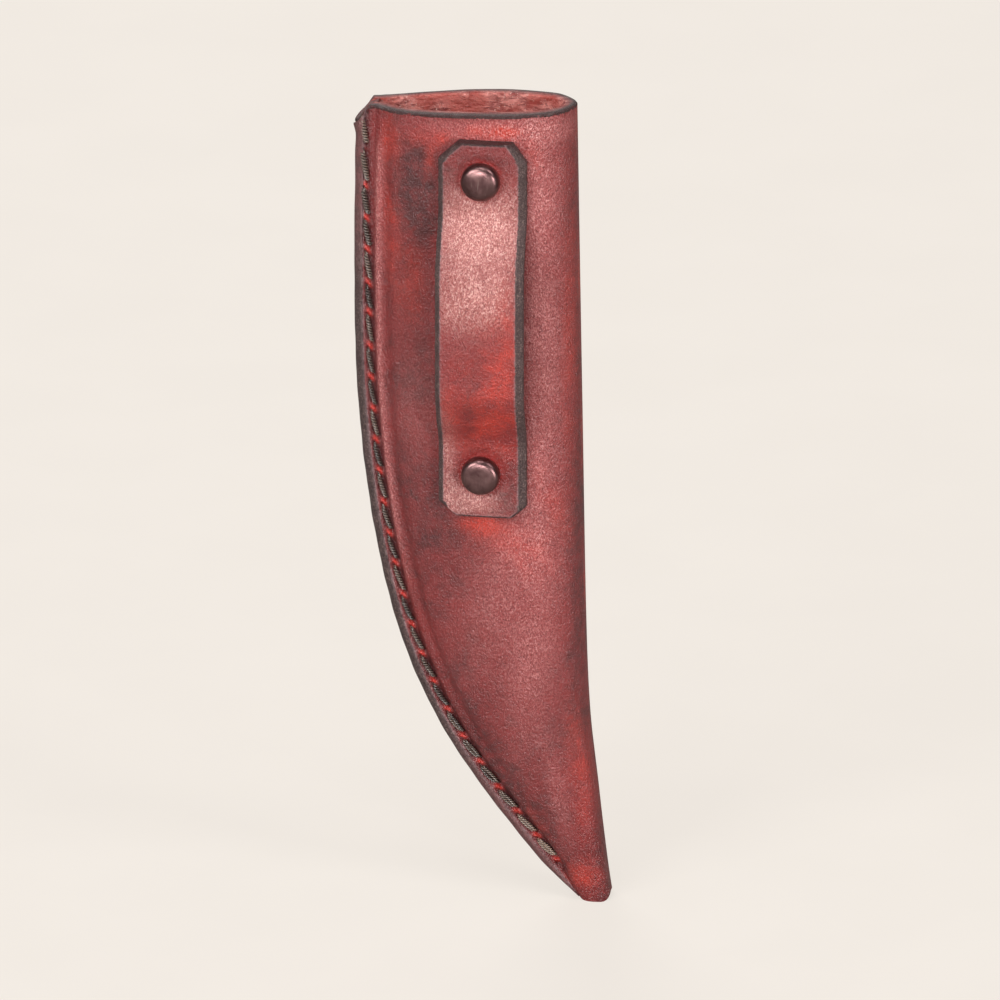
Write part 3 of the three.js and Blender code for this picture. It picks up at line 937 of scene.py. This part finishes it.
class Graph:
    """Short names for the shader nodes a material is wired from."""

    def __init__(self, name):
        self.material = bpy.data.materials.new(name)
        self.material.use_nodes = True
        self.tree = self.material.node_tree
        self.tree.nodes.clear()
        self.place = self.node("ShaderNodeTexCoord").outputs["Object"]

    def node(self, kind, inputs=None, **settings):
        """A shader node with its inputs fed, keyed by socket name or number."""
        made = self.tree.nodes.new(kind)
        for name, value in settings.items():
            setattr(made, name, value)
        for name, value in (inputs or {}).items():
            self.feed(made.inputs[name], value)
        return made

    def feed(self, socket, value):
        if isinstance(value, bpy.types.NodeSocket):
            self.tree.links.new(value, socket)
        else:
            socket.default_value = value

    def mask(self, name):
        return self.node("ShaderNodeAttribute", attribute_name=name).outputs["Fac"]

    def stretched(self, turn, scale):
        """Object coordinates turned in the x-z plane and scaled, for grain that runs one way."""
        inputs = {"Vector": self.place, "Rotation": (0, math.radians(turn), 0), "Scale": scale}
        return self.node("ShaderNodeMapping", inputs, vector_type="POINT").outputs["Vector"]

    def noise(self, size, detail=3.0, roughness=0.5, vector=None, distortion=0.0):
        """Noise whose features are about size millimetres across."""
        inputs = {"Vector": vector or self.place, "Scale": 1 / (size * MM), "Detail": detail}
        inputs |= {"Roughness": roughness, "Distortion": distortion}
        return self.node("ShaderNodeTexNoise", inputs).outputs["Fac"]

    def pebbles(self, size):
        """Rounded cells about size millimetres across."""
        inputs = {"Vector": self.place, "Scale": 1 / (size * MM)}
        return self.node("ShaderNodeTexVoronoi", inputs, feature="SMOOTH_F1").outputs["Distance"]

    def math(self, operation, a, b, clamp=False):
        return self.node("ShaderNodeMath", {0: a, 1: b}, operation=operation, use_clamp=clamp).outputs[0]

    def times(self, a, b, clamp=False):
        return self.math("MULTIPLY", a, b, clamp)

    def plus(self, a, b, clamp=False):
        return self.math("ADD", a, b, clamp)

    def less(self, a, b, clamp=False):
        return self.math("SUBTRACT", a, b, clamp)

    def span(self, value, low, high, to_low=0.0, to_high=1.0):
        """The value carried smoothly from the range low to high onto the range to_low to to_high."""
        inputs = {"Value": value, "From Min": low, "From Max": high, "To Min": to_low, "To Max": to_high}
        return self.node("ShaderNodeMapRange", inputs, interpolation_type="SMOOTHSTEP").outputs["Result"]

    def mix(self, share, a, b):
        return self.node("ShaderNodeMix", {0: share, 6: a, 7: b}, data_type="RGBA").outputs[2]

    def bump(self, height, depth, normal=None):
        """Raises the surface by a height texture, depth in millimetres."""
        inputs = {"Strength": 1.0, "Distance": depth * MM, "Height": height}
        if normal is not None:
            inputs["Normal"] = normal
        return self.node("ShaderNodeBump", inputs).outputs["Normal"]

    def surface(self, **inputs):
        inputs = {name.replace("_", " "): value for name, value in inputs.items()}
        shader = self.node("ShaderNodeBsdfPrincipled", inputs)
        output = self.node("ShaderNodeOutputMaterial")
        self.tree.links.new(shader.outputs["BSDF"], output.inputs["Surface"])
        return self.material


LEATHER_TONES = {
    "mid": srgb(136, 42, 42),
    "dark": srgb(74, 26, 28),
    "ember": srgb(196, 58, 44),
    # Painted pinkish sheen
    "painted_sheen": srgb(166, 82, 81),
    "glint": srgb(224, 160, 156),
    "burnish": srgb(80, 60, 59),
    "fibre": srgb(140, 116, 108),
    # Painted glint colour of the arris lines
    "arris_glint": srgb(150, 120, 122),
    "scuffed": srgb(128, 76, 76),
    "cut": srgb(56, 26, 27),
    # Painted shade in the stitching groove
    "groove": srgb(62, 24, 26),
    "ring": srgb(150, 34, 32),
    "rim": srgb(60, 30, 29),
    "nap": srgb(240, 158, 148),
    "nap_dark": srgb(150, 72, 68),
    "pull": srgb(196, 56, 48),
}
STRAP_TONES = LEATHER_TONES | {"painted_sheen": srgb(208, 134, 128), "glint": srgb(255, 226, 216)}
# The masks that only one of the two leathers has
BODY_MASKS = ("groove", "pull", "rim", "scuffed")
STRAP_MASKS = ("ring", "cut")


def leather_grain(g):
    """Fine slanting puckers over small pebbles and broad creases: two of the noises, and the bump."""
    fine = g.noise(0.25, 2, 0.55, g.stretched(38, (1.0, 1.0, 0.6)), 0.3)
    cross = g.noise(0.45, 2, 0.5, g.stretched(-52, (1.0, 1.0, 0.65)), 0.2)
    pucker = g.noise(2.6, 2, 0.5, g.stretched(44, (1.0, 1.0, 0.5)), 0.6)
    normal = None
    for height, depth in (
        (g.noise(9, 4, 0.6), 0.3),
        (pucker, 0.3),
        (g.pebbles(0.62), 0.14),
        (cross, 0.36),
        (fine, 0.34),
    ):
        normal = g.bump(height, depth, normal)
    return fine, cross, normal


def dyed_face(g, tones, fine, cross, extra_masks):
    """The dyed grain side: mottled dark dye with painted shade, a painted pinkish sheen, red patches,
    painted glints and painted shade in the stitching groove. Gives colour and the painted sheen.
    """
    broad = g.noise(17, 4, 0.62, distortion=0.5)
    cloud = g.noise(6, 4, 0.6, distortion=0.3)
    mottled = g.plus(g.times(broad, 0.6), g.times(cloud, 0.4))
    broken = g.span(g.noise(2.4, 5, 0.7, distortion=0.4), 0.34, 0.66, 0.45, 1.25)
    # Mottled dark dye, with painted shade from the patch table
    dark_dye_and_shade = g.plus(g.mask("dark_dye_and_shade"), g.span(mottled, 0.4, 0.64, 0.0, 0.6))
    dark_dye_and_shade = g.times(dark_dye_and_shade, broken)
    dark_dye_and_shade = g.plus(dark_dye_and_shade, g.span(fine, 0.4, 0.62, -0.16, 0.2), clamp=True)
    colour = g.mix(dark_dye_and_shade, tones["mid"], tones["dark"])
    # A painted pinkish sheen, broken up by the grain
    painted_sheen = g.times(g.mask("painted_sheen"), g.span(g.plus(cross, g.times(cloud, 0.7)), 0.6, 1.05, 0.45, 1.15))
    colour = g.mix(g.times(painted_sheen, 1.0, clamp=True), colour, tones["painted_sheen"])
    ember = g.times(g.mask("ember"), g.span(cloud, 0.34, 0.58, 0.3, 1.2))
    ember = g.times(ember, g.less(1.5, g.times(broken, 0.6)), clamp=True)
    colour = g.mix(ember, colour, tones["ember"])
    colour = g.mix(g.span(fine, 0.32, 0.52, 0.55, 0.0), colour, tones["dark"])
    # Painted glints of the grain inside the painted sheen
    sparkle = g.plus(g.times(fine, 0.65), g.times(cross, 0.35))
    glint = g.times(g.span(sparkle, 0.49, 0.62), g.times(painted_sheen, 0.42), clamp=True)
    colour = g.mix(glint, colour, tones["glint"])
    # The groove tone is painted shade in the stitching groove
    for tinted, strength in (("ring", 0.6), ("groove", 0.85), ("pull", 1.1)):
        if tinted in extra_masks:
            colour = g.mix(g.times(g.mask(tinted), strength, clamp=strength > 1), colour, tones[tinted])
    return colour, painted_sheen


def burnished_edge(g, tones, speck, extra_masks):
    """The rubbed grey-brown cut edge, flecked with fibres, browner or redder where it is worn."""
    tone = g.mix(g.span(speck, 0.52, 0.66, 0, 0.75), tones["burnish"], tones["fibre"])
    tone = g.mix(g.span(speck, 0.34, 0.48, 0.7, 0), tone, srgb(44, 30, 30))
    tone = g.mix(g.span(g.noise(3.5, 3, 0.6), 0.4, 0.65, 0, 0.5), tone, srgb(56, 38, 38))
    for worn in ("cut", "rim", "scuffed"):
        if worn in extra_masks:
            share = g.times(g.mask(worn), g.span(g.noise(1.8, 3, 0.6), 0.35, 0.6, 0.55, 1.0))
            tone = g.mix(share, tone, tones[worn])
    return tone


def flesh_side(g, tones, nap_noise):
    """The fuzzy undyed inner side."""
    tone = g.mix(g.span(nap_noise, 0.38, 0.62), tones["nap_dark"], tones["nap"])
    tone = g.mix(g.span(g.noise(0.45, 2, 0.6), 0.6, 0.7, 0, 0.7), tone, srgb(250, 214, 204))
    return g.mix(g.span(g.noise(6, 3), 0.42, 0.62, 0, 0.6), tone, srgb(190, 74, 62))


def dyed_leather(name, tones, extra_masks):
    g = Graph(name)
    fine, cross, normal = leather_grain(g)
    speck = g.noise(0.4, 3, 0.65)
    nap_noise = g.noise(1.3, 6, 0.72, g.stretched(0, (0.3, 1.0, 1.0)), 0.5)
    nap = g.mask("nap")

    colour, painted_sheen = dyed_face(g, tones, fine, cross, extra_masks)
    ragged = g.plus(g.mask("burnish"), g.span(g.noise(0.8, 4, 0.65), 0.34, 0.66, -0.3, 0.3))
    burnish = g.span(ragged, 0.42, 0.6)
    colour = g.mix(burnish, colour, burnished_edge(g, tones, speck, extra_masks))
    # Painted glint line along the arris
    line = g.times(g.mask("arris_glint"), g.span(g.noise(1.3, 3, 0.6), 0.35, 0.65, 0.15, 0.75))
    colour = g.mix(line, colour, tones["arris_glint"])
    colour = g.mix(nap, colour, flesh_side(g, tones, nap_noise))

    roughness = g.plus(g.span(fine, 0.3, 0.7, 0.46, 0.34), g.times(painted_sheen, 0.03))
    roughness = g.plus(roughness, g.times(nap, 0.45))
    roughness = g.plus(roughness, g.times(burnish, 0.12), clamp=True)
    fuzz = g.plus(g.times(nap_noise, nap), g.times(speck, g.times(burnish, 0.6)))
    uncoated = g.math("MAXIMUM", nap, g.times(burnish, 0.35))
    return g.surface(
        Base_Color=colour,
        Roughness=roughness,
        Normal=g.bump(fuzz, 0.5, normal),
        Specular_IOR_Level=0.5,
        Coat_Weight=g.less(0.5, uncoated, clamp=True),
        Coat_Roughness=0.25,
        Coat_Normal=normal,
    )


def burnished_welt(name):
    g = Graph(name)
    layers = g.noise(0.5, 3, 0.6, g.stretched(0, (1.0, 1.0, 0.12)))
    tone = g.mix(g.span(layers, 0.35, 0.7), srgb(52, 40, 39), srgb(82, 68, 65))
    tone = g.mix(g.less(1.0, g.mask("burnish"), clamp=True), tone, srgb(120, 62, 58))
    tone = g.mix(g.span(g.noise(0.4, 2), 0.68, 0.8, 0, 0.5), tone, srgb(150, 136, 126))
    normal = g.bump(layers, 0.12, g.bump(g.noise(2.5, 3), 0.12))
    return g.surface(Base_Color=tone, Roughness=g.span(layers, 0.3, 0.7, 0.38, 0.6), Normal=normal)


def waxed_cord(name):
    g = Graph(name)
    fibres = g.noise(0.16, 3, 0.6)
    wax = g.noise(1.6, 3, 0.6)
    tone = g.mix(g.span(fibres, 0.35, 0.7), srgb(30, 24, 24), srgb(84, 74, 73))
    tone = g.mix(g.span(wax, 0.5, 0.72, 0, 0.5), tone, srgb(140, 126, 120))
    tone = g.mix(g.times(g.mask("worn"), 0.85), tone, srgb(176, 148, 130))
    # Painted shade where the two plies sink into the twist
    tone = g.mix(g.times(g.mask("twist_shade"), 0.85), tone, srgb(26, 19, 19))
    return g.surface(
        Base_Color=tone,
        Roughness=g.span(wax, 0.3, 0.7, 0.2, 0.32),
        Normal=g.bump(fibres, 0.06),
        Specular_IOR_Level=1.0,
    )


def antique_metal(name):
    g = Graph(name)
    patina = g.noise(4.5, 3, 0.6, distortion=0.4)
    stain = g.noise(1.6, 3, 0.6)
    tone = g.mix(g.span(patina, 0.38, 0.64), srgb(132, 100, 99), srgb(98, 70, 71))
    tone = g.mix(g.span(stain, 0.62, 0.75, 0, 0.35), tone, srgb(72, 50, 50))
    scratch = g.noise(0.22, 2, 0.5, g.stretched(35, (1.0, 1.0, 0.06)))
    scuff = g.span(scratch, 0.62, 0.74)
    tone = g.mix(g.times(scuff, 0.25), tone, srgb(178, 160, 150))
    roughness = g.plus(g.span(stain, 0.3, 0.7, 0.3, 0.38), g.times(scuff, 0.08))
    normal = g.bump(scratch, 0.008, g.bump(stain, 0.012))
    return g.surface(Base_Color=tone, Metallic=1.0, Roughness=roughness, Normal=normal)


def pale_floor(name):
    g = Graph(name)
    seen = g.node("ShaderNodeLightPath").outputs["Is Camera Ray"]
    fleck = g.mix(g.span(g.noise(40, 3), 0.3, 0.7), srgb(106, 103, 99), srgb(109, 106, 102))
    return g.surface(
        Base_Color=g.mix(seen, srgb(140, 136, 131), fleck),
        Roughness=0.9,
        Specular_IOR_Level=0.0,
        Emission_Color=PAPER,
        Emission_Strength=g.times(seen, FLOOR_GLOW),
    )


# --- dye layout, with painted shade and painted sheen

# Centre x and z, half sizes, lean in degrees, strength
EMBER_PATCHES = [
    (-21, 186, 2.2, 6, 0, 0.5),
    (-20.5, 163, 1.9, 12, 4, 0.6),
    (-15.5, 153, 2.8, 9, 0, 0.4),
    (-18, 72, 3, 12, 8, 0.2),
    (-13, 189, 4, 2.2, 10, 0.45),
    (4, 191, 8, 2.4, 0, 0.35),
    (1, 94.5, 4.6, 2.4, 0, 0.95),
    (8, 91, 7, 4.5, -20, 0.35),
    (12, 86, 5, 4, -25, 0.25),
    (17, 100, 2.5, 8, 20, 0.35),
    (23, 34, 2.2, 13, 5, 0.6),
    (23.5, 6, 4, 4, 0, 0.55),
    (12, 20, 2, 4, 35, 0.3),
    (21, 140, 1.6, 30, 0, 0.35),
]
# Dark dye patches, with painted shade in the valleys by the tip and down the fold edge, which turns away
# from the light
DARK_DYE_AND_SHADE_PATCHES = [
    (-10, 92, 6, 14, 0, 0.35),
    (-14, 184, 5, 5, 0, 0.35),
    (-15.5, 174, 5, 11, 10, 1),
    (-14, 138, 4.5, 16, 0, 0.4),
    (-17, 105, 5, 16, 0, 0.25),
    (-2, 42, 6.5, 18, 28, 0.5),
    (9, 23, 3.6, 10, 30, 0.7),
    (22.5, 70, 2, 60, 0, 0.3),
    (23, 150, 2, 40, 0, 0.4),
    (16.5, 22, 2.5, 12, 8, 0.4),
]
# Painted sheen: pale pinkish highlights where the belt side turns towards the softboxes, along the right
# shoulder, on the crease and below the mouth
PAINTED_SHEEN_PATCHES = [
    (14, 178, 4, 14, 0, 1),
    (14, 191.5, 8, 3, 0, 0.9),
    (-15, 125, 5, 13, 0, 0.35),
    (10, 90, 7, 7, 0, 0.5),
    (14.8, 138, 4.2, 36, 0, 1),
    (12.5, 100, 5, 14, 0, 0.5),
    (4, 74, 7.5, 17, -12, 0.55),
    (12.5, 62, 5, 22, -6, 0.8),
    (18, 28, 2.4, 12, 8, 0.55),
    (4, 191.5, 13, 3, 0, 1.1),
]
# The strap's own tables measure x from its middle, on a strap of this width
STRAP_LAYOUT_WIDTH = 20.3
STRAP_EMBER = [
    (4, 133, 5.5, 13, 0, 0.6),
    (2, 119, 7, 8, 0, 0.45),
    (-6, 126, 3, 12, 0, 0.35),
    (7.5, 148, 2.5, 9, 0, 0.45),
]
# Darker patches on the strap
STRAP_DARK_PATCHES = [
    (-1, 127, 2.6, 12, 0, 0.55),
    (0, 184, 9, 4, 0, 0.4),
    (7, 105, 3, 7, 0, 0.45),
    (-3, 104, 8, 6, 0, 0.3),
]
# Painted highlight over the upper half of the strap's bow, and below the lower rivet
STRAP_PAINTED_SHEEN = [
    (0, 169, 9.5, 9, 0, 1.1),
    (-3, 153, 7.5, 7.5, -20, 0.8),
    (5, 155, 4, 7, 0, 0.4),
    (-3, 101.5, 7, 3.6, 0, 0.9),
    (-8, 112, 2, 12, 0, 0.5),
]

# --- stage

VIEW_AZIMUTH, VIEW_ELEVATION = 7.0, 21.0
FRAME_WIDTH = 230.8
LENS, SENSOR = 1000.0, 36.0
AIM_FROM_CENTRE = (3.76, 5.80, -1.3)

# The floor and the softboxes are measured in metres
FLOOR_SIZE = 60.0
FLOOR_GLOW = 0.825
PAPER = srgb(240, 233, 225)
STUDIO_TONE = (0.14, 0.138, 0.136, 1)

SOFTBOX_DISTANCE = 2.4
SOFTBOX_TINT = (1.0, 0.99, 0.98)
# Azimuth and elevation in degrees, width, height, watts
SOFTBOXES = {
    "left": (-32, 26, 1.2, 0.8, 34),
    "right": (62, 44, 0.6, 0.9, 18),
    "top": (-4, 66, 0.9, 0.6, 14),
    "front": (-3, 5, 0.7, 0.3, 20),
    "low_right": (42, 3, 0.5, 0.3, 24),
    "back": (205, 34, 1.2, 0.9, 30),
}


def direction(azimuth, elevation):
    a, e = math.radians(azimuth), math.radians(elevation)
    return Vector((math.sin(a) * math.cos(e), -math.cos(a) * math.cos(e), math.sin(e)))


def add_aimed(name, data, location, out):
    """A camera or lamp that looks back along a direction."""
    made = bpy.data.objects.new(name, data)
    made.location = location
    made.rotation_mode = "QUATERNION"
    made.rotation_quaternion = out.to_track_quat("Z", "Y")
    bpy.context.scene.collection.objects.link(made)
    return made


def add_camera(centre):
    data = bpy.data.cameras.new("view")
    data.lens, data.sensor_width = LENS, SENSOR
    data.clip_start, data.clip_end = 0.05, 100
    out = direction(VIEW_AZIMUTH, VIEW_ELEVATION)
    aim = centre + Vector(AIM_FROM_CENTRE) * MM
    location = aim + out * FRAME_WIDTH * MM * LENS / SENSOR
    bpy.context.scene.camera = add_aimed("view", data, location, out)


def add_softbox(name, centre, azimuth, elevation, width, height, power):
    data = bpy.data.lights.new(name, "AREA")
    data.shape, data.size, data.size_y = "RECTANGLE", width, height
    data.energy, data.color = power, SOFTBOX_TINT
    out = direction(azimuth, elevation)
    add_aimed(name, data, centre + out * SOFTBOX_DISTANCE, out)


def add_floor(height):
    side = FLOOR_SIZE / 2
    mesh = bpy.data.meshes.new("floor")
    corners = [(-side, -side, height), (side, -side, height), (side, side, height), (-side, side, height)]
    mesh.from_pydata(corners, [], [(0, 1, 2, 3)])
    mesh.materials.append(pale_floor("floor_paint"))
    floor = bpy.data.objects.new("floor", mesh)
    bpy.context.scene.collection.objects.link(floor)


def add_world():
    """Dim grey light from all round, which the camera sees as the colour of the lit floor."""
    world = bpy.data.worlds.new("studio")
    world.use_nodes = True
    tree = world.node_tree
    background = tree.nodes["Background"]
    seen = tree.nodes.new("ShaderNodeLightPath").outputs["Is Camera Ray"]
    tone = tree.nodes.new("ShaderNodeMix")
    tone.data_type = "RGBA"
    tone.inputs[6].default_value = STUDIO_TONE
    tone.inputs[7].default_value = [FLOOR_GLOW * c for c in PAPER[:3]] + [1]
    tree.links.new(seen, tone.inputs[0])
    tree.links.new(tone.outputs[2], background.inputs["Color"])
    bpy.context.scene.world = world


def set_stage(low, high):
    centre = (low + high) / 2
    add_floor(low.z)
    add_world()
    for name, (azimuth, elevation, width, height, power) in SOFTBOXES.items():
        add_softbox(f"{name}_softbox", centre, azimuth, elevation, width, height, power)
    add_camera(centre)
    bpy.context.scene.view_settings.view_transform = "Standard"


# --- assembly

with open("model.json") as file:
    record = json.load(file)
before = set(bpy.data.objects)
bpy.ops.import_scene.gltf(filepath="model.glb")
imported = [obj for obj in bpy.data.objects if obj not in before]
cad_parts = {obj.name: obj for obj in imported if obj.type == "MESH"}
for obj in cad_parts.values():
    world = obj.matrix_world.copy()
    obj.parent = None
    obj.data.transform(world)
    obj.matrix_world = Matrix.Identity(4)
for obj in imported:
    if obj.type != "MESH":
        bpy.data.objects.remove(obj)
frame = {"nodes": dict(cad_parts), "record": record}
cad_low, cad_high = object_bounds()

outline = Outline(frame["nodes"]["folded_leather_body"])
folded_body(outline, dyed_leather("body_dyed_leather", LEATHER_TONES, BODY_MASKS))
seam_welt(outline, burnished_welt("burnished_welt_leather"))
belt_strap(outline, dyed_leather("strap_dyed_leather", STRAP_TONES, STRAP_MASKS))
stitching(outline, waxed_cord("waxed_cord"))
metal = antique_metal("antique_metal")
for prefix in RIVETS:
    rivet(prefix, metal)
set_stage(cad_low, cad_high)
